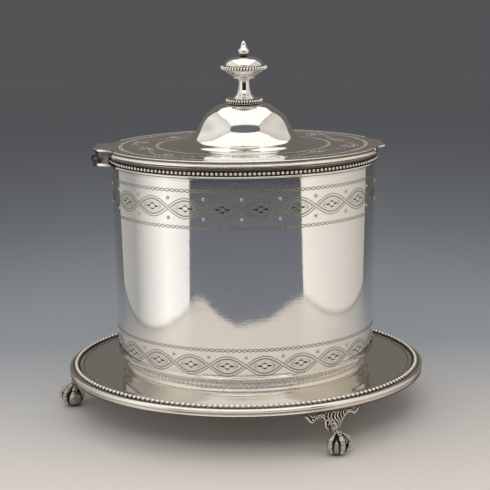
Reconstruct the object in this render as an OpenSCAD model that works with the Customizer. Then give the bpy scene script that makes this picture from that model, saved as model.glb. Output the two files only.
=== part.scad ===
// Oval biscuit jar with a hinged domed lid, standing on a footed tray.
// Millimetres, +Z up, +X towards the thumb tab, floor at z = 0.

/* [Body] */
// width of the oval body, across its long way
body_w = 150; // [130:1:180]
// depth of the oval as a share of its width
oval_ratio = 0.82; // [0.76:0.01:0.9]
// height of the body from its base to the top of its rim
body_h = 117.1; // [95:0.1:140]
// thickness of the body wall
body_wall = 1.2; // [0.8:0.1:1.8]
// thickness of the floor sheet
floor_t = 1; // [0.8:0.1:2]
// width of the lip that carries the floor sheet
floor_lip = 3.6; // [2.5:0.1:6]
// height of the foot ring under the body
ring_h = 9.4; // [8:0.1:14]
// how far the foot ring stands inside the body wall
ring_inset = 7.4; // [5:0.1:10]
// thickness of the foot ring
ring_t = 2; // [1.5:0.1:3]

/* [Rim] */
// height of the rim moulding round the mouth
rim_h = 6.3; // [5.5:0.1:9]
// how far the rim moulding stands out from the wall
rim_out = 2.4; // [2:0.1:3.5]
// radius of the beaded wire on the rim
rim_bead_r = 1.15; // [0.8:0.05:1.25]

/* [Tray] */
// width of the tray over its edge moulding
tray_w = 208.4; // [196:0.2:230]
// depth of the tray as a share of its width
tray_ratio = 0.83; // [0.78:0.01:0.88]
// height of the tray's underside above the floor
tray_lift = 26.4; // [24:0.2:36]
// thickness of the tray sheet
tray_t = 1.4; // [1:0.1:2]
// rise of the tray's border over its well
tray_rise = 1.6; // [1:0.1:3]
// width of the edge moulding
edge_w = 2.6; // [2.2:0.1:3.6]
// height of the edge moulding
edge_h = 5.2; // [4.4:0.1:7]
// radius of the beaded wire on the tray
tray_bead_r = 1.3; // [0.9:0.05:1.6]
// distance of the tray's beaded wire from the inner side of the edge moulding
tray_bead_in = 1.4; // [1.4:0.1:2.4]

/* [Feet] */
// radius of the ball under each foot
ball_r = 5.4; // [4.5:0.1:6.5]
// depth of the flat that each ball rests on
ball_flat = 0.25; // [0.15:0.05:0.4]
// thickness of a claw, as a radius
claw_r = 1.3; // [1:0.1:1.6]
// how far a claw arches out from the middle of its ball
claw_path = 7.2; // [6.6:0.1:8]
// angle between the middle claw and its neighbours
claw_spread = 58; // [45:1:70]
// how far a ball stands outside the middle of the edge moulding
ball_out = 2; // [1.5:0.1:4]
// how far a ball stands to one side of its bracket
ball_side = 1.8; // [0:0.1:3]
// radius of a foot's ankle where it meets the ball
ankle_r = 3.4; // [2.8:0.1:4]
// half the width of the leaf bracket
leaf_half_w = 16.5; // [14:0.5:22]
// height of the leaf bracket
leaf_h = 11; // [9:0.2:13]
// thickness of the leaf bracket
leaf_t = 2.4; // [1.8:0.1:2.6]
// angle of the two side feet round the oval, from the thumb tab
side_foot_angle = 60; // [45:1:70]
// turn of the three feet round the tray, clockwise from above
foot_turn = 4; // [0:0.5:8]

/* [Lid] */
// thickness of the lid sheet
lid_t = 1.2; // [0.8:0.1:1.6]
// running gap between the rim and the closed lid
lid_gap = 0.3; // [0.2:0.05:0.6]
// height of the lid's edge moulding
lid_edge_h = 2.9; // [2.4:0.1:4]
// width of the lid's edge moulding over the sheet
lid_edge_w = 2.6; // [2:0.1:3.4]
// how far the lid's edge stands out from the body wall
lid_out = 3.8; // [3:0.1:5]
// width of the dome's foot
dome_w = 76; // [62:1:90]
// height of the dome over the lid's flat
dome_h = 23.4; // [18:0.1:30]
// how far the dome and its finial stand towards the thumb tab
dome_shift = 1; // [0:0.1:1.5]
// height of the step at the foot of the dome
dome_step = 1.1; // [0.6:0.1:2]
// height of the bezel under the lid
bezel_h = 5.9; // [4:0.1:9]
// thickness of the bezel
bezel_t = 1.2; // [0.8:0.1:1.6]
// clearance between the bezel and the inside of the wall
bezel_clear = 0.8; // [0.6:0.1:1.5]
// how far the thumb tab stands out from the lid's edge
tab_out = 1; // [0.5:0.1:3]
// half the width of the thumb tab's straight edge
tab_half_w = 9.8; // [7:0.1:12]
// radius of the thumb tab's hollow sides
tab_hollow_r = 17; // [12:0.5:20]

/* [Hinge] */
// outer radius of the knuckles
knuckle_r = 2.4; // [2.2:0.1:2.7]
// space between the knuckles and the lower ear
knuckle_lift = 0.3; // [0.2:0.05:0.6]
// radius of the hinge pin
pin_r = 1; // [0.8:0.05:1.3]
// running clearance of the pin in the knuckles
pin_clear = 0.05; // [0.02:0.01:0.1]
// gap between the knuckles
knuckle_gap = 0.3; // [0.2:0.05:0.5]
// length of the lid's middle knuckle
lid_knuckle_l = 9.4; // [7:0.1:12]
// space between the rim and the knuckles
hinge_space = 3.4; // [2.8:0.1:4.5]
// half the width of the hinge ears
ear_half_w = 12; // [10:0.5:14]
// radius of the hinge ears' hollow sides
ear_hollow_r = 12.5; // [10:0.5:15]
// how far the ears stand out past the pin
ear_out = 1.4; // [1:0.1:2]
// thickness of the lower ear
leaf_plate_t = 1.4; // [1:0.1:1.6]
// width of the strip that joins the lower ear to the rim
leaf_strip = 1; // [0.8:0.1:2]
// thickness of the webs that carry the knuckles
web_t = 2.4; // [1.8:0.1:3]
// how far the hinge pin stands out at each end
pin_out = 0.4; // [0.2:0.1:1]

/* [Finial] */
// radius of the threaded stud through the finial
stud_r = 1; // [0.8:0.05:1.1]
// clearance of the stud in the pieces it holds
stud_clear = 0.05; // [0.02:0.01:0.1]
// radius of the collar
collar_r = 9.5; // [8:0.1:10.5]
// height of the collar
collar_h = 4.7; // [4.2:0.1:6]
// radius of the collar's beaded wire
collar_bead_r = 0.8; // [0.5:0.05:0.85]
// radius of the stem at its waist
stem_r = 3.2; // [2.6:0.1:3.8]
// height of the stem
stem_h = 9.4; // [7:0.1:13]
// height of the bowl under the knob
bowl_h = 5; // [4:0.1:7]
// radius of the knob's disc
disc_r = 12.2; // [10.5:0.1:14]
// thickness of the knob's disc
disc_h = 2; // [1.6:0.1:2.6]
// radius of the disc's beaded wire
disc_bead_r = 0.85; // [0.5:0.05:0.9]
// height of the knob's domed cap
cap_h = 5.4; // [4:0.1:8]
// how far the cap's edge lies inside the disc's edge
cap_inset = 1; // [0.8:0.1:2.5]
// radius of the spire's bulb
spire_r = 3.25; // [2.6:0.05:4]
// height of the spire
spire_h = 8.5; // [7:0.1:12]
// radius of the washer inside the dome
washer_r = 5; // [4:0.1:5.4]
// thickness of the washer
washer_t = 0.8; // [0.5:0.1:1.2]
// height of the hexagon nut
nut_h = 2.4; // [1.6:0.1:3.2]
// width of the hexagon nut over its corners
nut_w = 6.4; // [5:0.1:8]
// length of stud that shows under the nut
stud_tail = 1.6; // [0.5:0.1:3]

/* [Hidden] */
$fn = 96;
silver = [0.83, 0.83, 0.81];
silver_dark = [0.62, 0.61, 0.58];

body_r = body_w / 2;
body_in = body_r - body_wall;
tray_r = tray_w / 2;
edge_in = tray_r - edge_w;
edge_mid = tray_r - edge_w / 2 - 0.8;

well_z = tray_lift + tray_t;
border_z = well_z + tray_rise;
edge_low = border_z - edge_h;
ring_top = well_z + ring_h;
floor_z = ring_top + body_wall;
rim_top = ring_top + body_h;
rim_low = rim_top - rim_h;
lid_low = rim_top + lid_gap;
lid_top = lid_low + lid_edge_h;
lid_under = lid_top - lid_t;
lid_r = body_r + lid_out;
sheet_r = lid_r - lid_edge_w;
dome_r = dome_w / 2;
dome_top = lid_top + dome_h;

bezel_out = body_in - bezel_clear;
bezel_low = lid_under - bezel_h;

hinge_x = body_r + rim_out + hinge_space + knuckle_r;
leaf_low = rim_low + 0.2;
leaf_top = leaf_low + leaf_plate_t;
hinge_z = leaf_top + knuckle_lift + knuckle_r;
ear_tip = hinge_x + ear_out;
ear_root = ear_half_w + ear_hollow_r;
moulding_cut = ear_root + 0.1;
tab_x = lid_r + tab_out;
sheet_lap = 1.5 * lid_edge_w;
function oval_x(r, y) = r * sqrt(1 - pow(y / (r * oval_ratio), 2));
root_x = oval_x(sheet_r - sheet_lap, ear_root);
knuckle_end = ear_half_w - 0.4;
knuckle_in = lid_knuckle_l / 2 + knuckle_gap;

bore_r = stud_r + stud_clear;
collar_top = dome_top + collar_h;
stem_top = collar_top + stem_h;
bowl_top = stem_top + bowl_h;
disc_top = bowl_top + disc_h;
cap_top = disc_top + cap_h;
spire_top = cap_top + spire_h;
collar_foot_r = collar_r + 0.35;
dome_flat_r = collar_foot_r + 0.5;
dome_hole_r = dome_r + dome_shift;
dome_flange_r = dome_hole_r + dome_shift + 0.8;
washer_low = dome_top - lid_t - washer_t;
nut_low = washer_low - nut_h;
spire_bore_h = 2.4;

ball_z = ball_r - ball_flat;
claw_z = ball_z + 0.21 * claw_path;
heel_path = 0.78 * claw_path;
function rim_at(t) = [edge_mid * cos(t), edge_mid * tray_ratio * sin(t)];
function rim_turn(t) = atan2(edge_mid * sin(t), edge_mid * tray_ratio * cos(t));
hinge_foot_at = 180 - foot_turn;
hinge_foot_turn = rim_turn(hinge_foot_at);
foot_tip = ball_side * sin(hinge_foot_turn) - ball_out * cos(hinge_foot_turn) - rim_at(hinge_foot_at)[0]
    - claw_path * cos(hinge_foot_turn) + claw_r;
// the part's origin is on the floor in the middle of its footprint
axis_x = (foot_tip - tray_r) / 2;

// outline of the dome, from its foot to its flat top, as shares of width and height
dome_line = [
    [1, 0], [0.921, 0.063], [0.842, 0.153], [0.763, 0.273], [0.711, 0.377],
    [0.674, 0.512], [0.611, 0.672], [0.526, 0.804], [0.447, 0.895], [0.366, 0.964]
];
dome_low = lid_top + dome_step;
dome_pts = concat(
    [for (p = dome_line) [p[0] * dome_r, dome_low + p[1] * (dome_top - dome_low)]],
    [[dome_flat_r, dome_top]]
);
dome_n = len(dome_pts);
function unit(v) = v / norm(v);
function inward(i) =
    i == 0 ? unit([-0.35, -1]) :
    i == dome_n - 1 ? [0, -1] :
    let (d = unit(dome_pts[i + 1] - dome_pts[i - 1])) [-d[1], d[0]];
dome_inside = [for (i = [0:dome_n - 1])
    dome_pts[i] + lid_t * inward(i) * (inward(i)[1] < 0 ? 1 : -1)];

module placed() {
    translate([axis_x, 0, 0]) children();
}

module oval_ring(ratio) {
    for (quarter = [0, 90, 180, 270])
        scale([1, ratio, 1]) rotate_extrude(angle = 90, start = quarter) children();
}

module body_ring() {
    oval_ring(oval_ratio) children();
}

module on_dome() {
    translate([dome_shift, 0, 0]) children();
}

module tray_ring() {
    oval_ring(tray_ratio) children();
}

module half_round(r, x, z, seat) {
    difference() {
        translate([x, z]) circle(r = r, $fn = 48);
        translate([seat - 4 * r, z - 2 * r]) square([4 * r, 4 * r]);
    }
}

module wire_on_top(r, x, seat) {
    polygon([
        [x - 0.6 * r, seat], [x - 0.97 * r, seat + 0.55 * r], [x - 0.78 * r, seat + 1.42 * r],
        [x - 0.3 * r, seat + 1.75 * r], [x + 0.3 * r, seat + 1.75 * r],
        [x + 0.78 * r, seat + 1.42 * r], [x + 0.97 * r, seat + 0.55 * r], [x + 0.6 * r, seat]
    ]);
}

module wire_on_wall(r, seat, z) {
    polygon([
        [seat, z - r], [seat + 0.55 * r, z - 0.84 * r], [seat + 0.97 * r, z - 0.42 * r],
        [seat + 1.1 * r, z], [seat + 0.97 * r, z + 0.42 * r], [seat + 0.55 * r, z + 0.84 * r],
        [seat, z + r]
    ]);
}

// tray

module tray_dish() {
    color(silver)
    tray_ring() polygon([
        [0, tray_lift], [edge_in - 10.6, tray_lift], [edge_in - 4.4, border_z - tray_t],
        [edge_in, border_z - tray_t], [edge_in, border_z], [edge_in - 4, border_z],
        [edge_in - 4.5, border_z + 0.3], [edge_in - 5.3, border_z + 0.3],
        [edge_in - 5.9, border_z - 0.3], [edge_in - 10, well_z], [0, well_z]
    ]);
}

module tray_edge_moulding() {
    color(silver)
    tray_ring() polygon([
        [edge_in - 1, edge_low], [tray_r - 0.6, edge_low], [tray_r - 0.4, edge_low + 0.8],
        [tray_r - 1.6, edge_low + 2.2], [tray_r, edge_low + 0.74 * edge_h],
        [tray_r - 0.4, border_z - 0.4], [edge_in, border_z], [edge_in, border_z - tray_t],
        [edge_in - 1, border_z - tray_t]
    ]);
}

module tray_bead_wire() {
    color(silver)
    tray_ring() wire_on_top(tray_bead_r, edge_in - tray_bead_in, border_z);
}

// feet: a clawed ball, an ankle and a leaf bracket that follows the tray's edge

module leaf_outline() {
    w = leaf_half_w;
    h = leaf_h;
    half = [
        [1, 0], [0.92, 0.14], [0.82, 0.36], [0.72, 0.46], [0.62, 0.36], [0.52, 0.24],
        [0.42, 0.25], [0.34, 0.38], [0.3, 0.56], [0.28, 0.74], [0.23, 0.88], [0.16, 1]
    ];
    polygon(concat(
        [for (p = half) [p[0] * w, edge_low - p[1] * h]],
        [for (i = [len(half) - 1:-1:0]) [-half[i][0] * w, edge_low - half[i][1] * h]]
    ));
}

module claw(az, path, top) {
    low = -45;
    rotate([0, 0, az]) rotate([90, 0, 0])
        rotate_extrude(angle = top - low, start = low) translate([path, 0]) circle(r = claw_r, $fn = 32);
}

module foot(t) {
    a = edge_mid;
    b = edge_mid * tray_ratio;
    bend = pow(pow(a * sin(t), 2) + pow(b * cos(t), 2), 1.5) / (a * b);
    color(silver_dark)
    translate(rim_at(t)) rotate([0, 0, rim_turn(t)]) difference() {
        union() {
            translate([ball_out, ball_side, ball_z]) {
                sphere(r = ball_r);
                rotate([9, -12, 0]) cylinder(r1 = ankle_r + 1, r2 = ankle_r - 1, h = edge_low - leaf_h - ball_z + 2.5);
            }
            translate([ball_out, ball_side, claw_z]) {
                for (az = [-claw_spread, 0, claw_spread]) claw(az, claw_path, 84);
                claw(180, heel_path, 60);
            }
            intersection() {
                translate([-bend, 0, edge_low - leaf_h]) difference() {
                    cylinder(r = bend + leaf_t / 2, h = leaf_h);
                    translate([0, 0, -leaf_t]) cylinder(r = bend - leaf_t / 2, h = leaf_h + 2 * leaf_t);
                }
                translate([-3 * leaf_t, 0, 0]) rotate([90, 0, 90]) linear_extrude(6 * leaf_t) leaf_outline();
            }
        }
        translate([-leaf_half_w, -leaf_half_w, -ball_r]) cube([3 * leaf_half_w, 2 * leaf_half_w, ball_r]);
    }
}

module foot_hinge_end() foot(hinge_foot_at);
module foot_front() foot(-side_foot_angle - foot_turn);
module foot_back() foot(side_foot_angle - foot_turn);

// body

module body_shell() {
    color(silver)
    body_ring() polygon([
        [body_in - floor_lip, ring_top], [body_r - 1.4, ring_top], [body_r, ring_top + 2],
        [body_r, rim_top], [body_in, rim_top], [body_in, floor_z + 0.8],
        [body_in - 0.6, floor_z], [body_in - floor_lip, floor_z]
    ]);
}

module body_floor() {
    color(silver)
    body_ring() polygon([
        [0, floor_z], [body_in - 0.9, floor_z], [body_in - 0.9, floor_z + floor_t], [0, floor_z + floor_t]
    ]);
}

module body_foot_ring() {
    r = body_r - ring_inset;
    color(silver)
    body_ring() polygon([
        [body_r - 5.4, ring_top], [body_r - 1.6, ring_top], [body_r - 3.6, ring_top - 1.2],
        [r + 1.4, ring_top - 3], [r, ring_top - 4.2], [r, well_z + 2.2], [r + 0.5, well_z + 1.6],
        [r + 0.4, well_z + 0.4], [r - 0.2, well_z], [r - ring_t, well_z], [r - ring_t, ring_top - 4.6]
    ]);
}

module body_rim_moulding() {
    color(silver)
    body_ring() polygon([
        [body_r, rim_low], [body_r + 0.75 * rim_out, rim_low + 0.2],
        [body_r + 0.75 * rim_out, leaf_top], [body_r + 0.3 * rim_out, leaf_top + 0.1],
        [body_r + 0.3 * rim_out, rim_top - 2.2], [body_r + 0.9 * rim_out, rim_top - 1.5],
        [body_r + rim_out, rim_top - 0.7], [body_r + 0.75 * rim_out, rim_top], [body_r, rim_top]
    ]);
}

module body_bead_wire() {
    seat = body_r + 0.3 * rim_out;
    mid = (leaf_top + 0.1 + rim_top - 2.2) / 2;
    color(silver)
    body_ring() wire_on_wall(rim_bead_r, seat, mid);
}

// hinge

module ear_outline() {
    difference() {
        translate([-ear_tip, -ear_root]) square([ear_tip - root_x, 2 * ear_root]);
        for (s = [-1, 1]) translate([-ear_tip, s * ear_root]) circle(r = ear_hollow_r);
    }
}

module tab_outline() {
    difference() {
        translate([root_x, -ear_root]) square([tab_x - root_x, 2 * ear_root]);
        for (s = [-1, 1])
            translate([tab_x + 0.6 * tab_hollow_r, s * (tab_half_w + 0.8 * tab_hollow_r)])
                circle(r = tab_hollow_r);
    }
}

module knuckle(y0, y1) {
    translate([-hinge_x, y1, hinge_z]) rotate([90, 0, 0]) cylinder(r = knuckle_r, h = y1 - y0);
}

module pin_bore() {
    translate([-hinge_x, ear_half_w + 5, hinge_z]) rotate([90, 0, 0])
        cylinder(r = pin_r + pin_clear, h = 2 * ear_half_w + 10);
}

module hinge_leaf_body() {
    color(silver_dark)
    difference() {
        union() {
            translate([0, 0, leaf_low]) linear_extrude(leaf_plate_t) difference() {
                union() {
                    ear_outline();
                    intersection() {
                        translate([-ear_tip, -ear_root]) square([ear_tip - root_x, 2 * ear_root]);
                        scale([1, oval_ratio]) circle(r = body_r + 0.75 * rim_out + leaf_strip);
                    }
                }
                scale([1, oval_ratio]) circle(r = body_r + 0.75 * rim_out);
            }
            for (s = [-1, 1]) {
                knuckle(min(s * knuckle_in, s * knuckle_end), max(s * knuckle_in, s * knuckle_end));
                translate([-hinge_x - web_t / 2, min(s * knuckle_in, s * knuckle_end), leaf_low])
                    cube([web_t, knuckle_end - knuckle_in, hinge_z - leaf_low]);
            }
        }
        pin_bore();
    }
}

module hinge_leaf_lid() {
    color(silver_dark)
    difference() {
        union() {
            knuckle(-lid_knuckle_l / 2, lid_knuckle_l / 2);
            translate([-hinge_x - web_t / 2, -lid_knuckle_l / 2, hinge_z])
                cube([web_t, lid_knuckle_l, lid_under - hinge_z]);
        }
        pin_bore();
    }
}

module hinge_pin() {
    color(silver)
    translate([-hinge_x, knuckle_end + pin_out, hinge_z]) rotate([90, 0, 0])
        cylinder(r = pin_r, h = 2 * (knuckle_end + pin_out));
}

// lid

module lid_cover() {
    color(silver)
    difference() {
        union() {
            on_dome() body_ring() polygon(concat(
                [[0, dome_top - lid_t], [0, dome_top]],
                [for (i = [dome_n - 1:-1:0]) dome_pts[i]],
                [[dome_r, lid_top], [dome_flange_r, lid_top], [dome_flange_r, lid_under],
                    [dome_r - 0.5 * lid_t, lid_under]],
                [for (i = [1:dome_n - 1]) dome_inside[i]]
            ));
            body_ring() translate([dome_hole_r, lid_under]) square([sheet_r - dome_hole_r, lid_t]);
            translate([0, 0, lid_under]) linear_extrude(lid_t) difference() {
                union() {
                    ear_outline();
                    tab_outline();
                }
                scale([1, oval_ratio]) circle(r = sheet_r - sheet_lap);
            }
        }
        on_dome() translate([0, 0, dome_top - 3 * lid_t]) cylinder(r = bore_r, h = 5 * lid_t);
    }
}

module lid_moulding_ring() {
    body_ring() polygon([
        [sheet_r - 1.6, lid_low], [lid_r - 1, lid_low], [lid_r, lid_low + 0.35 * lid_edge_h],
        [lid_r, lid_low + 0.68 * lid_edge_h], [lid_r - 0.8, lid_top],
        [sheet_r, lid_top], [sheet_r, lid_under], [sheet_r - 1.6, lid_under]
    ]);
}

module lid_moulding_front() {
    color(silver)
    intersection() {
        lid_moulding_ring();
        translate([-lid_r - 5, -lid_r, lid_low - 5]) cube([2 * lid_r + 10, lid_r - moulding_cut, lid_edge_h + 10]);
    }
}

module lid_moulding_back() {
    color(silver)
    intersection() {
        lid_moulding_ring();
        translate([-lid_r - 5, moulding_cut, lid_low - 5]) cube([2 * lid_r + 10, lid_r - moulding_cut, lid_edge_h + 10]);
    }
}

module lid_bezel() {
    color(silver)
    body_ring() translate([bezel_out - bezel_t, bezel_low]) square([bezel_t, bezel_h]);
}

// finial

module turned() {
    color(silver)
    on_dome() rotate_extrude() children();
}

module finial_collar() {
    z = dome_top;
    h = collar_h;
    turned() polygon([
        [bore_r, z], [collar_r + 0.2, z], [collar_foot_r, z + 0.06 * h], [collar_r + 0.2, z + 0.12 * h],
        [collar_r - 0.6, z + 0.16 * h], [collar_r, z + 0.19 * h], [collar_r, z + 0.54 * h],
        [stem_r + 3.6, z + 0.62 * h], [stem_r + 3, z + 0.76 * h], [stem_r + 2.3, z + 0.9 * h],
        [stem_r + 2.1, collar_top], [bore_r, collar_top]
    ]);
}

module finial_collar_beads() {
    turned() half_round(collar_bead_r, collar_r + 0.3, dome_top + 0.365 * collar_h, collar_r);
}

module finial_stem() {
    z = collar_top;
    h = stem_h;
    turned() polygon([
        [bore_r, z], [stem_r + 1.9, z], [stem_r + 1.3, z + 0.12 * h], [stem_r + 0.8, z + 0.35 * h],
        [stem_r + 0.35, z + 0.53 * h], [stem_r, z + 0.69 * h], [stem_r + 0.2, z + 0.83 * h],
        [stem_r + 0.9, stem_top], [bore_r, stem_top]
    ]);
}

module finial_bowl() {
    z = stem_top;
    h = bowl_h;
    turned() polygon([
        [bore_r, z], [stem_r + 2.8, z], [stem_r + 3.1, z + 0.1 * h], [stem_r + 2.7, z + 0.2 * h],
        [stem_r + 3.3, z + 0.29 * h], [disc_r - 4.5, z + 0.42 * h], [disc_r - 2.7, z + 0.68 * h],
        [disc_r - 0.9, z + 0.9 * h], [disc_r - 0.5, bowl_top], [bore_r, bowl_top]
    ]);
}

module finial_disc() {
    turned() translate([bore_r, bowl_top]) square([disc_r - bore_r, disc_h]);
}

module finial_disc_beads() {
    turned() half_round(disc_bead_r, disc_r + 0.3, bowl_top + disc_h / 2, disc_r);
}

module finial_cap() {
    r = disc_r - cap_inset;
    turned() polygon([
        [bore_r, disc_top], [r, disc_top], [0.985 * r, disc_top + 0.13 * cap_h],
        [0.93 * r, disc_top + 0.38 * cap_h], [0.85 * r, disc_top + 0.58 * cap_h],
        [0.74 * r, disc_top + 0.74 * cap_h], [0.56 * r, disc_top + 0.87 * cap_h],
        [0.36 * r, disc_top + 0.95 * cap_h], [2.2, cap_top], [bore_r, cap_top]
    ]);
}

module finial_spire() {
    z = cap_top;
    h = spire_h;
    turned() polygon([
        [bore_r, z], [2.2, z], [1.5, z + 0.06 * h], [1.5, z + 0.1 * h], [spire_r - 0.7, z + 0.175 * h],
        [spire_r - 0.1, z + 0.25 * h], [spire_r, z + 0.33 * h], [spire_r - 0.25, z + 0.41 * h],
        [0.63 * spire_r, z + 0.51 * h], [0.45 * spire_r, z + 0.72 * h], [0.28 * spire_r, z + 0.86 * h],
        [0.4, z + 0.96 * h], [0, spire_top], [0, z + spire_bore_h], [bore_r, z + spire_bore_h]
    ]);
}

module finial_stud() {
    low = nut_low - stud_tail;
    color(silver_dark)
    on_dome() translate([0, 0, low]) cylinder(r = stud_r, h = cap_top + spire_bore_h - 0.2 - low);
}

module finial_washer() {
    color(silver_dark)
    on_dome() rotate_extrude() translate([bore_r, washer_low]) square([washer_r - bore_r, washer_t]);
}

module finial_nut() {
    color(silver_dark)
    on_dome() translate([0, 0, nut_low]) difference() {
        cylinder(r = nut_w / 2, h = nut_h, $fn = 6);
        translate([0, 0, -1]) cylinder(r = bore_r, h = nut_h + 2);
    }
}

placed() tray_dish();
placed() tray_edge_moulding();
placed() tray_bead_wire();
placed() foot_hinge_end();
placed() foot_front();
placed() foot_back();
placed() body_shell();
placed() body_floor();
placed() body_foot_ring();
placed() body_rim_moulding();
placed() body_bead_wire();
placed() hinge_leaf_body();
placed() hinge_pin();
placed() hinge_leaf_lid();
placed() lid_cover();
placed() lid_moulding_front();
placed() lid_moulding_back();
placed() lid_bezel();
placed() finial_collar();
placed() finial_collar_beads();
placed() finial_stem();
placed() finial_bowl();
placed() finial_disc();
placed() finial_disc_beads();
placed() finial_cap();
placed() finial_spire();
placed() finial_stud();
placed() finial_washer();
placed() finial_nut();
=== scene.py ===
import math

import bmesh
import bpy
import numpy as np
from mathutils import Matrix, Vector


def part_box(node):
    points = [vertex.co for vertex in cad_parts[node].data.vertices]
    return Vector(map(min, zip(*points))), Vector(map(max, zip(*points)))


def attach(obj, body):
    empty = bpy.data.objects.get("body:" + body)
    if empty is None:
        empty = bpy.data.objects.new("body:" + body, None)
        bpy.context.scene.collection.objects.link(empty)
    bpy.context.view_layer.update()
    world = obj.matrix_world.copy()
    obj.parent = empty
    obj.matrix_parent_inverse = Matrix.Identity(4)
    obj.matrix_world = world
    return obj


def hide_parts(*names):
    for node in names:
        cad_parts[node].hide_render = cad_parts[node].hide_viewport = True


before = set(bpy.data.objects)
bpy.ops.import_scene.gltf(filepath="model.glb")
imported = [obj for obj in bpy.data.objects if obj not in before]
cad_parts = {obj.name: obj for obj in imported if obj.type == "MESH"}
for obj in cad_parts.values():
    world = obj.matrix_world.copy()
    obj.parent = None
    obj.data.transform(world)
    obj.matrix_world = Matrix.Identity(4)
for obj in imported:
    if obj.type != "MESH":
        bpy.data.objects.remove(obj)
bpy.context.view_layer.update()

# Pieces are given in millimetres, camera, stage and lights in metres.
MM = 0.001
TAU = 2 * math.pi
# middle of the body along X, and of the dome, which sits a little beside it
AX = 0.5 * (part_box("body_shell")[0].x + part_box("body_shell")[1].x) / MM
DOME_X = AX + 1.0
# width of an oval across Y as a share of its length along X
RATIO = 0.82
TRAY_RATIO = 0.83

# ------------------------------ camera
# heading, tilt and roll in radians, then distance from the body's middle and height in metres
HEADING, TILT, ROLL, DISTANCE, HEIGHT = 0.0131, 0.2285, -0.0135, 0.6803, 0.2566

scene = bpy.context.scene
scene.view_settings.view_transform = "Standard"
cam_data = bpy.data.cameras.new("camera")
cam_data.sensor_width = 36.0
cam_data.lens = 88.15
cam_data.shift_x = 0.0011
cam_data.clip_start = 0.01
cam_data.clip_end = 40
cam = bpy.data.objects.new("camera", cam_data)
scene.collection.objects.link(cam)
scene.camera = cam
ahead = Vector((math.sin(HEADING), math.cos(HEADING), 0))
right = Vector((math.cos(HEADING), -math.sin(HEADING), 0))
look = Vector((math.sin(HEADING) * math.cos(TILT), math.cos(HEADING) * math.cos(TILT), -math.sin(TILT)))
turn = Matrix((right, right.cross(look), -look)).transposed() @ Matrix.Rotation(ROLL, 3, "Z")
where = Vector((AX * MM, 0, 0)) - DISTANCE * ahead + Vector((0, 0, HEIGHT))
cam.matrix_world = Matrix.Translation(where) @ turn.to_4x4()


# ------------------------------ surfaces
class Nodes:
    """The shader nodes of a material or a world, with short ways to add and join them."""

    def __init__(self, holder):
        holder.use_nodes = True
        self.holder, self.tree = holder, holder.node_tree
        self.tree.nodes.clear()

    def add(self, kind, **values):
        node = self.tree.nodes.new("ShaderNode" + kind)
        for key, value in values.items():
            if hasattr(node, key):
                setattr(node, key, value)
            else:
                node.inputs[key.replace("_", " ")].default_value = value
        return node

    def feed(self, socket, value):
        """Set a socket to a number or a colour, or link an output to it."""
        if isinstance(value, (int, float)):
            socket.default_value = value
        elif isinstance(value, tuple):
            socket.default_value = (*value, 1)
        else:
            self.tree.links.new(value, socket)

    def math(self, op, a, b, clamp=False):
        node = self.add("Math", operation=op, use_clamp=clamp)
        self.feed(node.inputs[0], a)
        self.feed(node.inputs[1], b)
        return node.outputs[0]

    def mix(self, factor, a, b):
        node = self.add("Mix", data_type="RGBA")
        for socket, value in ((0, factor), (6, a), (7, b)):
            self.feed(node.inputs[socket], value)
        return node.outputs[2]

    def ramp(self, value, stops):
        """A ramp through stops of (place, colour) or (place, grey level)."""
        node = self.add("ValToRGB")
        self.feed(node.inputs[0], value)
        points = node.color_ramp.elements
        while len(points) < len(stops):
            points.new(0.5)
        for point, (at, colour) in zip(points, stops):
            point.position = at
            point.color = (*colour, 1) if isinstance(colour, tuple) else (colour, colour, colour, 1)
        return node.outputs[0]

    def spread(self, value, low, high, at_low=0.0, at_high=1.0):
        """Carry low..high over to at_low..at_high, and hold the ends."""
        node = self.add("MapRange", From_Min=low, From_Max=high, To_Min=at_low, To_Max=at_high)
        self.feed(node.inputs["Value"], value)
        return node.outputs[0]

    def split(self, vector):
        node = self.add("SeparateXYZ")
        self.feed(node.inputs[0], vector)
        return node.outputs

    def out(self, surface, kind="Material"):
        self.feed(self.add("Output" + kind).inputs[0], surface)
        return self.holder


# noise: soft clouds, fine wear, and polishing lines that run round the turned pieces
CLOUDS = dict(Scale=38.0, Detail=5.0, Roughness=0.6)
FINE = dict(Scale=420.0, Detail=3.0, Roughness=0.6)
LINES = dict(Scale=1.0, Detail=2.0)
LINES_SCALE, LINES_TURN = (90, 90, 2200), (0.25, 0.1, 0.0)
HOLLOW_REACH = 2.2 * MM


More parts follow.
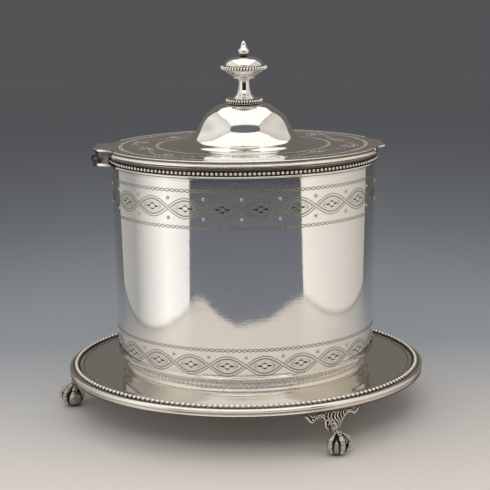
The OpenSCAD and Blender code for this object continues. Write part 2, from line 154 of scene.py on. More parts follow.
def silver(name, base, dark, rough=0.06, rough_more=0.1, tarnish_and_shade_weight=0.9, bump=0.01, ao=0.8, brush=0.0, grain=0.0,
           relief=0.0, metal=1.0):
    """Worn silver plate: tarnish and painted shade in hollows, soft cloudy wear, fine polishing lines.

    base and dark are the clean metal and the colour painted into hollows, tarnish and shade together. ao and
    relief say how readily a place counts as a hollow, the darkening weight how dark it gets, brush how far
    the lines show, and grain how rough a casting is."""
    n = Nodes(bpy.data.materials.new(name))
    shader = n.add("BsdfPrincipled", Metallic=metal)
    place = n.add("TexCoord").outputs["Object"]
    stretched = n.add("Mapping", Scale=LINES_SCALE, Rotation=LINES_TURN)
    n.feed(stretched.inputs["Vector"], place)

    def noise(at, values):
        node = n.add("TexNoise", **values)
        n.feed(node.inputs["Vector"], at)
        return node.outputs[0]

    cloud, fine, lines = noise(place, CLOUDS), noise(place, FINE), noise(stretched.outputs[0], LINES)
    patch = n.ramp(cloud, [(0.35, 0.0), (0.75, 1.0)])
    worn = n.math("MULTIPLY", n.ramp(fine, [(0.45, 0.0), (0.7, 1.0)]), 0.03)
    brushed = n.math("MULTIPLY", n.ramp(lines, [(0.4, 0.0), (0.66, 1.0)]), brush)

    # ambient occlusion, and low pointiness on castings, find the hollows, which are painted darker: tarnish
    # together with painted shade
    hollow = n.add("AmbientOcclusion", samples=6, Distance=HOLLOW_REACH)
    inside = n.math("SUBTRACT", 1.0, hollow.outputs["AO"], clamp=True)
    inside = n.math("MULTIPLY", inside, 1.6 * ao, clamp=True)
    if relief:
        low = n.ramp(n.add("NewGeometry").outputs["Pointiness"], [(0.485, 1.0), (0.53, 0.0)])
        inside = n.math("MAXIMUM", inside, n.math("MULTIPLY", low, relief))
    tarnish_and_shade = n.math("MULTIPLY", inside, tarnish_and_shade_weight, clamp=True)

    tint = n.mix(n.math("MULTIPLY", patch, 0.22), base, tuple(0.93 * c for c in base))
    tint = n.mix(n.math("MULTIPLY", brushed, 0.9), tint, tuple(0.7 * c for c in base))
    n.feed(shader.inputs["Base Color"], n.mix(tarnish_and_shade, tint, dark))
    extra = n.math("ADD", n.math("MULTIPLY", patch, rough_more), n.math("MULTIPLY", tarnish_and_shade, 0.25))
    extra = n.math("ADD", extra, n.math("ADD", worn, n.math("MULTIPLY", brushed, 0.12)))
    n.feed(shader.inputs["Roughness"], n.math("ADD", rough, extra, clamp=True))
    height = n.math("ADD", n.math("MULTIPLY", lines, 0.25), n.math("MULTIPLY", cloud, 2.0))
    height = n.math("ADD", height, n.math("MULTIPLY", fine, grain))
    rise = n.add("Bump", Strength=bump, Distance=MM)
    n.feed(rise.inputs["Height"], height)
    n.feed(shader.inputs["Normal"], rise.outputs[0])
    return n.out(shader.outputs[0])


# each metal's second colour is painted into its hollows by ambient occlusion: tarnish and painted shade
# together, strongest on beads, mouldings and castings; the FLAT ones get none
TARNISH = (0.25, 0.21, 0.14)
FLAT = dict(bump=0.05, ao=0.0)
M_BODY = silver("body_silver", (0.85, 0.835, 0.81), (0.34, 0.27, 0.17), 0.035, 0.03, bump=0.02, brush=0.13)
M_LID = silver("lid_silver", (0.84, 0.82, 0.785), (0.3, 0.24, 0.15), 0.045, 0.05, bump=0.02)
M_TRAY = silver("tray_silver", (0.85, 0.83, 0.8), (0.22, 0.17, 0.1), 0.035, 0.03, bump=0.04)
M_RING = silver("milled_silver", (0.88, 0.83, 0.75), (0.24, 0.19, 0.12), 0.12, tarnish_and_shade_weight=0.8, ao=0.6, metal=0.85)
M_EDGE = silver("bright_edge_silver", (0.95, 0.92, 0.87), (0.3, 0.26, 0.18),
    0.22, tarnish_and_shade_weight=0.5, ao=0.4, metal=0.8)
M_MOULD = silver("moulding_silver", (0.86, 0.835, 0.79), (0.07, 0.05, 0.03), 0.05, tarnish_and_shade_weight=1.0, ao=1.5)
M_BEAD = silver("bead_silver", (0.9, 0.87, 0.81), (0.05, 0.037, 0.02), tarnish_and_shade_weight=1.0, ao=2.0)
M_CAST = silver("cast_silver", (0.9, 0.86, 0.79), (0.03, 0.022, 0.014),
    tarnish_and_shade_weight=1.0, ao=1.8, bump=0.2, grain=3.0,
                relief=1.0)
M_FINE_BEAD = silver("fine_bead_silver", (0.95, 0.92, 0.86), (0.12, 0.085, 0.05), 0.1, ao=1.2)
M_BORDER = silver("border_silver", (0.9, 0.87, 0.81), (0.15, 0.115, 0.07), 0.1, tarnish_and_shade_weight=0.8)
M_FINIAL = silver("finial_silver", (0.87, 0.845, 0.8), (0.12, 0.09, 0.05), 0.045, 0.04, ao=1.2)
M_INSIDE = silver("inside_silver", (0.72, 0.69, 0.62), (0.2, 0.17, 0.11), 0.25, 0.2, bump=0.08)
M_PIN = silver("pin_metal", (0.62, 0.6, 0.55), (0.16, 0.14, 0.1), 0.22, bump=0.05)
# nearly black metal for bands and lines of painted shade and painted dark reflection
M_SHADE_LINE = silver("painted_shade_line", (0.09, 0.075, 0.055), (0.03, 0.025, 0.02), 0.32, **FLAT)
# brown metal for bands of painted shade and painted dark reflection, with some tarnish
M_BROWN_SHADE = silver("brown_tarnish_and_painted_shade", (0.17, 0.135, 0.1), (0.06, 0.045, 0.03), 0.22, bump=0.05)
M_BOSS = silver("punched_dots", (0.55, 0.53, 0.48), TARNISH, 0.12, **FLAT)
M_CUT = silver("engraved_silver", (0.4, 0.37, 0.29), TARNISH, 0.42, **FLAT)
M_CUT_FINE = silver("fine_engraving", (0.52, 0.49, 0.42), TARNISH, 0.38, **FLAT)
M_CUT_DEEP = silver("deep_engraving", (0.1, 0.08, 0.06), (0.06, 0.05, 0.03), 0.3, **FLAT)
M_CUT_LID = silver("lid_engraving", (0.92, 0.88, 0.82), TARNISH, 0.45, metal=0.4, **FLAT)


# ------------------------------ mesh helpers
def mesh_object(name, verts, faces, mat, sharp=None):
    """A smooth mesh, with the edges steeper than sharp, in degrees, left sharp."""
    me = bpy.data.meshes.new(name)
    verts = np.asarray(verts, float) * MM
    me.from_pydata(verts.tolist(), [], [list(map(int, f)) for f in faces])
    me.validate(clean_customdata=False)
    me.update()
    me.shade_smooth()
    me.materials.append(mat)
    if sharp:
        me.set_sharp_from_angle(angle=math.radians(sharp))
    ob = bpy.data.objects.new(name, me)
    scene.collection.objects.link(ob)
    return ob


def rework(ob, work, sharp=None):
    """Let a function change an object's mesh."""
    bm = bmesh.new()
    bm.from_mesh(ob.data)
    work(bm)
    bm.to_mesh(ob.data)
    bm.free()
    ob.data.shade_smooth()
    if sharp:
        ob.data.set_sharp_from_angle(angle=math.radians(sharp))
    return ob


def join_and_face(bm):
    """Join points that fall together, as on an axis, and turn the faces outward."""
    bmesh.ops.remove_doubles(bm, verts=bm.verts, dist=2e-7)
    bmesh.ops.recalc_face_normals(bm, faces=bm.faces)


class Lumps:
    """Points and faces of many shapes, gathered for one mesh."""

    def __init__(self):
        self.verts, self.faces, self.count = [], [], 0

    def add(self, verts, faces):
        self.verts.append(np.asarray(verts, float))
        self.faces += [tuple(self.count + k for k in f) for f in faces]
        self.count += len(verts)


def spline(path, i, t, corners=()):
    """A place on the Catmull-Rom curve between points i and i + 1, which doesn't run on past a corner."""
    p1, p2 = path[i], path[i + 1]
    p0 = path[i - 1] if i > 0 and i not in corners else 2 * p1 - p2
    p3 = path[i + 2] if i + 2 < len(path) and i + 1 not in corners else 2 * p2 - p1
    return 0.5 * (2 * p1 + (p2 - p0) * t + (2 * p0 - 5 * p1 + 4 * p2 - p3) * t * t
                  + (3 * p1 - p0 - 3 * p2 + p3) * t ** 3)


def smooth_line(points, step, corners=()):
    """A denser outline: curved through the points, and straight between two corners, named by index."""
    pts = np.array(points, float)
    out = [pts[0]]
    for i in range(len(pts) - 1):
        straight = i in corners and i + 1 in corners
        n = 1 if straight else max(int(np.linalg.norm(pts[i + 1] - pts[i]) / step), 1)
        out += [spline(pts, i, k / n, corners) for k in range(1, n + 1)]
    return [tuple(p) for p in out]


def strip(a, b, seg):
    """Faces between two closed rows of seg points, which start at a and b."""
    return [(a + i, a + (i + 1) % seg, b + (i + 1) % seg, b + i) for i in range(seg)]


def turned(name, profile, mat, ratio, seg, closed=True, sharp=35, wave=None, cx=AX):
    """A ring or a solid of revolution, squeezed to an oval. profile: (radius, height) points."""
    ang = np.arange(seg) * TAU / seg
    rows = len(profile)
    verts, faces = [], []
    for j, (r, z) in enumerate(profile):
        if wave:
            r = r + wave(j, ang)
        verts.append(np.stack([cx + r * np.cos(ang), ratio * r * np.sin(ang), np.full(seg, z)], 1))
    for j in range(rows if closed else rows - 1):
        faces += strip(j * seg, (j + 1) % rows * seg, seg)
    return rework(mesh_object(name, np.concatenate(verts), faces, mat), join_and_face, sharp)


def shade_band(ob, ratio, mat, beyond, low, high, cx=AX):
    """Give the faces beyond a radius and between two heights another metal; used here to paint bands of
    shade and dark reflection.
    """
    ob.data.materials.append(mat)
    for face in ob.data.polygons:
        r = math.hypot(face.center.x / MM - cx, face.center.y / MM / ratio)
        if r > beyond and low < face.center.z / MM < high:
            face.material_index = len(ob.data.materials) - 1


class Oval:
    """An oval path with points found by the distance along it."""

    def __init__(self, a, ratio, cx=AX):
        self.a, self.b, self.cx = a, a * ratio, cx
        self.t = np.linspace(0, TAU, 7201)
        steps = np.hypot(np.diff(self.a * np.cos(self.t)), np.diff(self.b * np.sin(self.t)))
        self.s = np.concatenate([[0], np.cumsum(steps)])
        self.length = self.s[-1]

    def at(self, s, out=0.0):
        """Place at distance s, moved outward by out, and the outward direction there."""
        t = np.interp(np.mod(s, self.length), self.s, self.t)
        x, y = self.a * np.cos(t), self.b * np.sin(t)
        nx, ny = self.b * np.cos(t), self.a * np.sin(t)
        k = np.hypot(nx, ny)
        nx, ny = nx / k, ny / k
        return self.cx + x + out * nx, y + out * ny, nx, ny


def capped(rings, seg):
    """Faces of a closed skin: an end point, rings of seg points each, and the other end point."""
    faces, last = [], 1 + rings * seg
    for i in range(seg):
        k = (i + 1) % seg
        faces.append((0, 1 + i, 1 + k))
        for p in range(1, last - seg, seg):
            faces.append((p + i, p + seg + i, p + seg + k, p + k))
        faces.append((last - seg + i, last, last - seg + k))
    return faces


def ball_mesh(seg=12, rows=8):
    points = [(0, 0, 1)]
    for a in [math.pi * j / rows for j in range(1, rows)]:
        for b in [TAU * i / seg for i in range(seg)]:
            points.append((math.sin(a) * math.cos(b), math.sin(a) * math.sin(b), math.cos(a)))
    return np.array(points + [(0, 0, -1)]), capped(rows - 1, seg)


def balls(name, spots, size, mat, lean=0.0):
    """Balls on an oval. spots: (what Oval.at gives, height); size: radii outward, along and up."""
    ball, faces = ball_mesh()
    deep, wide, tall = size
    row = Lumps()
    for (x, y, nx, ny), z in spots:
        out, along = np.array((nx, ny, 0)), np.array((-ny, nx, 0))
        row.add(np.outer(ball[:, 0] * deep, out) + np.outer(ball[:, 1] * wide + ball[:, 2] * lean, along)
                + np.outer(ball[:, 2] * tall, (0, 0, 1)) + (x, y, z), faces)
    return mesh_object(name, np.concatenate(row.verts), row.faces, mat)


def beads(name, oval, z, r, count, mat, stretch=1.0, tall=1.0, lean=0.0):
    """A row of equal beads right round an oval."""
    spots = [(oval.at(oval.length * i / count), z) for i in range(count)]
    return balls(name, spots, (r, r * stretch, r * tall), mat, r * lean)


# ------------------------------ body
# shared heights: foot ring's foot and top, body's rim, lid plate's underside and top
RING_FOOT, RING_TOP, RIM_TOP, LID_UNDER, LID_TOP = 27.8, 37.2, 154.3, 156.3, 157.5
WALL_R, INNER_R = 75.0, 73.8
BODY = Oval(WALL_R, RATIO)

wall = turned("body_wall", [
    (INNER_R, RIM_TOP), (INNER_R, 120.0), (INNER_R, 80.0), (INNER_R, 40.2), (73.55, 39.0), (72.8, 38.4),
    (70.2, 38.4), (70.2, RING_TOP), (72.6, RING_TOP), (74.2, RING_TOP), (74.45, 37.35), (74.7, 37.8),
    (74.95, 38.3), (75.12, 38.7), (75.0, 39.0), (74.8, 39.2), (74.8, 39.5), (75.0, 39.9)]
    + [(WALL_R, z) for z in (40.6, *np.linspace(44.0, 143.0, 34), 147.2, 150.0, RIM_TOP)],
        M_BODY, RATIO, 360)
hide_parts("body_shell")
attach(wall, "base")

RIBS, RIB_DEPTH = 150, 0.22
# rows of the milled band and the turn of each, which makes a zigzag
MILLED = {10: 0.0, 11: 0.9, 12: 1.8, 13: 0.9, 14: 0.0}


def milled(j, ang):
    return RIB_DEPTH * np.sin(RIBS * ang + MILLED[j]) if j in MILLED else 0.0


foot_ring = turned("body_foot_ring_milled", [
    (70.0, RING_TOP), (73.6, RING_TOP), (73.3, 36.9), (72.0, 36.2), (70.7, 35.3), (69.6, 34.4), (68.8, 33.7),
    (68.3, 33.35), (68.2, 33.2), (67.75, 33.0), (67.95, 32.85), (67.95, 32.35), (67.95, 31.85),
    (67.95, 31.35), (67.95, 30.9), (67.75, 30.7), (67.8, 29.9), (67.7, RING_FOOT), (65.6, RING_FOOT),
    (65.6, 32.6)],
    M_RING, RATIO, RIBS * 8, wave=milled, sharp=50)
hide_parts("body_foot_ring")
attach(foot_ring, "base")

foot_bead = turned("body_foot_bead", smooth_line([
    (67.6, 30.95), (68.3, 30.85), (68.9, 30.45), (69.45, 29.9), (69.8, 29.5), (69.9, 29.2), (67.6, 29.1)],
    0.2, corners=(0, 5, 6)), M_EDGE, RATIO, 300, sharp=60)
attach(foot_bead, "base")

rim = turned("body_rim", smooth_line([
    (75.0, 148.0), (75.7, 147.95), (76.4, 148.05), (76.85, 148.4), (76.95, 148.9), (76.7, 149.35),
    (76.2, 149.6), (75.72, 149.7), (75.72, 152.1), (76.1, 152.2), (76.6, 152.3), (76.85, 152.6),
    (76.8, 152.85), (76.9, 153.05), (77.3, 153.3), (77.45, 153.7), (77.3, 154.1), (76.9, 154.3),
    (75.0, 154.3)], 0.3,
    corners=(0, 7, 8, 12, 17, 18)), M_MOULD, RATIO, 300, sharp=40)
# dark bands painted on the rim: brown in the cove above the bead row, and nearly black under the lower roll
# where it meets the wall; painted shade with some tarnish
shade_band(rim, RATIO, M_BROWN_SHADE, beyond=76.0, low=152.0, high=153.5)
shade_band(rim, RATIO, M_SHADE_LINE, beyond=75.2, low=147.9, high=148.45)
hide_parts("body_rim_moulding")
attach(rim, "base")

rim_beads = beads("body_rim_beads", Oval(75.9, RATIO), 150.9, 1.17, 176, M_BEAD, stretch=1.02)
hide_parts("body_bead_wire")
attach(rim_beads, "base")

# ------------------------------ tray
dish = turned("tray_dish_sheet", smooth_line([
    (0.0, 26.4), (60, 26.4), (90.5, 26.4), (94, 26.9), (97.2, 27.9), (101.6, 28.0), (101.6, 29.4),
    (99.5, 29.4), (97.9, 29.42), (97.45, 29.5), (97.15, 29.72), (96.7, 29.8), (96.25, 29.7), (96.0, 29.4),
    (95.6, 29.2), (94.4, 28.7), (93.0, 28.2), (91.4, 27.85), (89.5, 27.86), (86.0, 28.05), (82.0, 28.33),
    (78.4, 28.6), (77.4, 28.66), (76.6, 28.78), (75.7, 28.85), (75.1, 29.15), (74.2, 29.25), (68.0, 29.25),
    (66.6, 29.2), (66.0, 27.8), (0.0, 27.8)], 4,
    corners=(0, 2, 5, 6, 9, 14, 18, 26, 27, 28, 29)), M_TRAY, TRAY_RATIO, 320, closed=False, sharp=50)
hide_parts("tray_dish")
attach(dish, "base")

edge = turned("tray_edge", smooth_line([
    (101.2, 24.2), (102.4, 24.15), (103.2, 24.3), (103.75, 24.7), (103.85, 25.2), (103.6, 25.65),
    (103.1, 25.95), (102.9, 26.2), (102.95, 26.5), (103.2, 26.8), (103.55, 27.1), (103.95, 27.45),
    (104.18, 27.95), (104.1, 28.5), (103.75, 28.95), (103.2, 29.25), (102.6, 29.4), (102.0, 29.42),
    (101.7, 29.3), (101.6, 29.4), (101.6, 28.0), (101.0, 27.0), (100.8, 25.4)],
    0.3, corners=(0, 7, 18, 19, 20)), M_BORDER, TRAY_RATIO, 360, sharp=45)
# a brown band painted on the edge's lower roll: a painted reflection of the shaded floor, with some tarnish
shade_band(edge, TRAY_RATIO, M_BROWN_SHADE, beyond=102.0, low=24.0, high=25.75)
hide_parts("tray_edge_moulding")
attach(edge, "base")

# narrow dark lines round the tray, painted shade and painted dark reflection beside the bead row and at the
# steps, with some tarnish: radii, height and metal
for name, r0, r1, z, mat in (("tray_shade_line_outer", 101.8, 102.15, 29.5, M_BROWN_SHADE),
                             ("tray_shade_line_inner", 98.0, 98.75, 29.47, M_SHADE_LINE),
                             ("tray_shade_line_step", 95.75, 96.2, 29.47, M_SHADE_LINE)):
    line = turned(name, [(r0, z), (r1, z), (r1, z - 0.12), (r0, z - 0.12)], mat, TRAY_RATIO, 300)
    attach(line, "base")

tray_beads = beads("tray_beads", Oval(100.1, TRAY_RATIO), 30.1, 1.12, 196, M_FINE_BEAD, stretch=1.12)
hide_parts("tray_bead_wire")
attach(tray_beads, "base")

# ------------------------------ lid
FLAT_R = 76.2
# hinge ear and thumb tab: X of the end, half its width, and radius of the hollow corner beside it
EAR_X, EAR_HALF, EAR_R = -84.6, 12.0, 12.5
TAB_X, TAB_HALF, TAB_R = 79.8, 9.8, 17.0


def covered(x, y):
    """True where the lid's plate is: inside its oval, its ear or its tab."""
    if (x / FLAT_R) ** 2 + (y / (RATIO * FLAT_R)) ** 2 <= 1:
        return True
    if x < 0:
        side = EAR_HALF + EAR_R
        return EAR_X <= x and abs(y) < side and math.hypot(x - EAR_X, abs(y) - side) > EAR_R
    side = TAB_HALF + 0.8 * TAB_R
    return x <= TAB_X and abs(y) < side + 1 and math.hypot(x - (TAB_X + 0.6 * TAB_R), abs(y) - side) > TAB_R


def lid_outline(t):
    """The plate's edge: from the oval outward as long as the ear or the tab covers the place."""
    x, y = FLAT_R * math.cos(t), RATIO * FLAT_R * math.sin(t)
    dx, dy = math.cos(t), RATIO * math.sin(t)
    k = math.hypot(dx, dy)
    dx, dy = dx / k, dy / k
    near, far = 0.0, 0.3
    while covered(x + dx * far, y + dy * far):
        near, far = far, far + 0.15
    for _ in range(18):
        middle = 0.5 * (near + far)
        if covered(x + dx * middle, y + dy * middle):
            near = middle
        else:
            far = middle
    return x + dx * near, y + dy * near


DOME_TOP, DOME_UNDER, DOME_INNER_R = 180.92, 179.7, 38.2
dome_profile = smooth_line([
    (0.0, DOME_TOP), (6.0, DOME_TOP), (10.3, 180.88), (12.2, 180.66), (14.0, 180.22), (15.6, 179.5),
    (17.2, 178.5), (20.0, 176.5), (22.3, 174.3), (24.05, 171.9), (25.25, 169.75), (26.05, 168.0),
    (26.95, 166.4), (28.1, 164.9), (29.2, 163.65), (30.2, 162.65), (31.1, 161.85), (32.0, 161.2),
    (32.9, 160.65), (33.8, 160.2), (34.6, 159.9), (35.2, 159.74), (36.0, 159.52), (37.0, 159.13),
    (38.1, 158.64), (39.2, 158.16), (40.2, 157.8), (41.2, LID_TOP)],
    0.6, corners=(29,))
under_profile = smooth_line([
    (DOME_INNER_R, LID_UNDER), (37.0, 157.6), (34.5, 158.9), (31.2, 161.1), (28.0, 163.9), (25.9, 166.4),
    (24.4, 169.6), (22.2, 173.1), (19.3, 175.5), (16.4, 177.5), (13.2, 179.1), (10.0, 179.68),
    (2.0, DOME_UNDER)],
    1.6, corners=(0,))

SEG = 480
angles = [TAU * i / SEG for i in range(SEG)]
# more points at the ear and at the tab, and one on each of their corners
for centre, half, extra in ((math.pi, 0.42, 160), (0.0, 0.45, 140)):
    angles += [centre + half * (2 * (k + 0.5) / extra - 1) for k in range(extra)]
for x, y in ((EAR_X, EAR_HALF), (TAB_X, TAB_HALF)):
    angles += [math.atan2(side * y / RATIO, x) for side in (-1, 1)]
angles = sorted({round(a % TAU, 6) for a in angles})


def oval_ring(cx, r, z):
    return [(cx + r * math.cos(a), RATIO * r * math.sin(a), z) for a in angles]


def inset_ring(inset, z):
    """The plate's edge, moved inward."""
    ring = []
    for (x0, y0), (x, y), (x1, y1) in zip(rim_xy[-1:] + rim_xy, rim_xy, rim_xy[1:] + rim_xy):
        k = math.hypot(x1 - x0, y1 - y0)
        ring.append((AX + x - inset * (y1 - y0) / k, y + inset * (x1 - x0) / k, z))
    return ring


rim_xy = [lid_outline(a) for a in angles]
rings = [oval_ring(DOME_X, r, z) for r, z in dome_profile[1:]]
rings += [oval_ring(AX, r, LID_TOP) for r in (44.0, 52.0, 60.0, 67.0, 72.0, 75.0)]
# the plate's rounded edge: (inset, height)
rings += [inset_ring(inset, z) for inset, z in (
    (0.3, LID_TOP), (0.12, LID_TOP - 0.03), (0.0, LID_TOP - 0.12),
    (0.0, LID_UNDER + 0.12), (0.12, LID_UNDER + 0.03), (0.3, LID_UNDER))]
rings += [oval_ring(AX, r, LID_UNDER) for r in (70.0, 55.0, 42.0)]
rings += [oval_ring(DOME_X, DOME_INNER_R, LID_UNDER)]
rings += [oval_ring(DOME_X, r, z) for r, z in under_profile[1:]]
cover = mesh_object("lid_cover_sheet", [(DOME_X, 0, DOME_TOP), *sum(rings, []), (DOME_X, 0, DOME_UNDER)],
                    capped(len(rings), len(angles)), M_LID, sharp=50)
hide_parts("lid_cover")
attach(cover, "lid")

edge_line = smooth_line([
    (74.8, 154.6), (77.6, 154.6), (78.3, 154.62), (78.7, 154.8), (78.85, 155.15), (78.75, 155.5),
    (78.35, 155.75), (78.1, 155.95), (78.15, 156.2), (78.35, 156.3), (78.32, 156.5), (78.12, 156.9),
    (77.9, 157.35), (77.7, 157.58), (77.3, 157.69), (76.8, 157.65), (FLAT_R, 157.44), (FLAT_R, LID_UNDER),
    (74.8, LID_UNDER)],
    0.25, corners=(0, 1, 6, 8, 15, 16, 17, 18))


def part_ring(name, profile, a0, a1, mat, steps=150):
    """A length of the lid's oval moulding between two angles, with closed ends."""
    m = len(profile)
    verts, faces = [], []
    for a in [a0 + (a1 - a0) * i / steps for i in range(steps + 1)]:
        verts += [(AX + r * math.cos(a), RATIO * r * math.sin(a), z) for r, z in profile]
    for i in range(steps):
        for j in range(m):
            k = (j + 1) % m
            faces.append((i * m + j, (i + 1) * m + j, (i + 1) * m + k, i * m + k))
    faces.append(tuple(range(m)))
    faces.append(tuple(steps * m + j for j in reversed(range(m))))
    return rework(mesh_object(name, verts, faces, mat), join_and_face, sharp=45)


# half the width that the moulding leaves free at the ear and at the tab, and its radius
EAR_FREE, TAB_FREE, MOULDING_R = 24.3, 24.0, 78.0
cut_l = math.pi - math.asin(EAR_FREE / (RATIO * MOULDING_R))
cut_r = math.asin(TAB_FREE / (RATIO * MOULDING_R))
for name, node, a0, a1 in (("lid_moulding_rear", "lid_moulding_back", cut_r, cut_l),
                           ("lid_moulding_fore", "lid_moulding_front", TAU - cut_l, TAU - cut_r)):
    ob = part_ring(name, edge_line, a0, a1, M_EDGE)
    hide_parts(node)
    # a brown band painted on the front of the moulding's upper roll: a painted dark reflection, with some
    # tarnish
    shade_band(ob, RATIO, M_BROWN_SHADE, beyond=77.8, low=156.25, high=157.3)
    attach(ob, "lid")

# ------------------------------ finial
STUD_R = 1.05
# pieces from the dome up: (corners of the outline by index, outline)
FINIAL = {
    "finial_collar": ((0, 1, 6, 19, 20), [
        (STUD_R, 180.9), (9.7, 180.9), (9.85, 181.0), (9.87, 181.2), (9.75, 181.4), (9.3, 181.55),
        (8.9, 181.65), (9.4, 181.8), (9.5, 181.95), (9.5, 183.3), (9.3, 183.5), (8.4, 183.62),
        (7.3, 183.75), (6.8, 183.85), (6.5, 184.1), (6.35, 184.4), (6.0, 184.75), (5.6, 185.05),
        (5.35, 185.3), (5.3, 185.6), (STUD_R, 185.6)]),
    "finial_stem": ((0, 1, 12, 13), [
        (STUD_R, 185.6), (5.2, 185.6), (4.85, 185.95), (4.4, 186.4), (4.05, 187.0), (3.8, 187.9),
        (3.62, 189.0), (3.5, 190.3), (3.42, 191.6), (3.42, 192.8), (3.55, 193.6), (3.8, 194.3),
        (4.1, 195.0), (STUD_R, 195.0)]),
    "finial_bowl": ((0, 1, 5, 14, 15), [
        (STUD_R, 195.0), (5.9, 195.0), (6.25, 195.15), (6.35, 195.45), (6.15, 195.75), (5.85, 195.95),
        (6.0, 196.2), (6.7, 196.5), (7.6, 197.0), (8.7, 197.65), (9.7, 198.35), (10.7, 199.1), (11.4, 199.6),
        (11.7, 199.85), (11.7, 200.0), (STUD_R, 200.0)]),
    "finial_disc": ((0, 1, 6, 7), [
        (STUD_R, 200.0), (11.9, 200.0), (12.15, 200.15), (12.2, 200.4), (12.2, 201.6), (12.15, 201.85),
        (11.9, 202.0), (STUD_R, 202.0)]),
    "finial_cap": ((0, 1, 13, 14), [
        (STUD_R, 202.0), (11.2, 202.0), (11.25, 202.2), (11.05, 202.65), (10.75, 203.4), (10.35, 204.1),
        (9.7, 204.9), (8.9, 205.6), (7.9, 206.15), (6.6, 206.6), (5.2, 206.9), (3.8, 207.1), (2.7, 207.3),
        (2.2, 207.4), (STUD_R, 207.4)]),
    "finial_spire": ((0, 1, 2, 3, 22), [
        (0.0, 209.8), (STUD_R, 209.8), (STUD_R, 207.4), (2.15, 207.4), (1.95, 207.55), (1.7, 207.75),
        (1.65, 207.9), (2.0, 208.15), (2.6, 208.5), (3.05, 209.0), (3.3, 209.6), (3.35, 210.2), (3.2, 210.8),
        (2.8, 211.35), (2.2, 211.75), (1.9, 212.1), (1.75, 212.7), (1.55, 213.5), (1.3, 214.3),
        (1.0, 214.95), (0.7, 215.45), (0.35, 215.8), (0.0, 215.9)]),
}
for node, (corners, prof) in FINIAL.items():
    ob = turned(node + "_turned", smooth_line(prof, 0.3, corners),
        M_EDGE if node == "finial_bowl" else M_FINIAL,
                1.0, 96, closed=node != "finial_spire", sharp=50, cx=DOME_X)
    # brown bands painted behind the disc's and the collar's bead rows: painted shade between the beads, with
    # some tarnish
    if node == "finial_disc":
        shade_band(ob, 1.0, M_BROWN_SHADE, beyond=11.3, low=199.0, high=203.0, cx=DOME_X)
    if node == "finial_collar":
        shade_band(ob, 1.0, M_BROWN_SHADE, beyond=8.6, low=181.5, high=183.6, cx=DOME_X)
    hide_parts(node)
    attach(ob, "lid")
for node, r, z, size, count in (("finial_collar_beads", 9.75, 182.62, 0.84, 40),
                                ("finial_disc_beads", 12.42, 201.0, 0.9, 48)):
    ob = beads(node + "_row", Oval(r, 1.0, DOME_X),
        z, size, count, M_FINE_BEAD, stretch=0.8, tall=1.08, lean=0.2)
    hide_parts(node)
    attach(ob, "lid")
ob = beads("collar_foot_beads", Oval(9.9, 1.0, DOME_X), 181.3, 0.5, 48, M_FINE_BEAD, stretch=0.9)
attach(ob, "lid")

# CAD pieces that stay, with their metal
for node, mat in (("body_floor", M_INSIDE), ("lid_bezel", M_INSIDE), ("hinge_leaf_body", M_LID),
                  ("hinge_leaf_lid", M_LID), ("hinge_pin", M_PIN), ("finial_stud", M_PIN),
                  ("finial_washer", M_PIN), ("finial_nut", M_PIN)):
    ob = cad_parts[node]
    ob.data.materials.clear()
    ob.data.materials.append(mat)

# ------------------------------ feet
EDGE_MID = 102.1
# degrees: turn of all three feet, side feet from the tab's end, and between two claws
FOOT_TURN, SIDE_FOOT, CLAW_SPREAD = 4.0, 60.0, 58.0
# a foot's ball: radius, height, and place out from the tray's edge and along it
BALL_R, BALL_Z, BALL_OUT, BALL_SIDE = 5.4, 5.15, 2.0, 1.8
BRACKET_TOP = 24.3


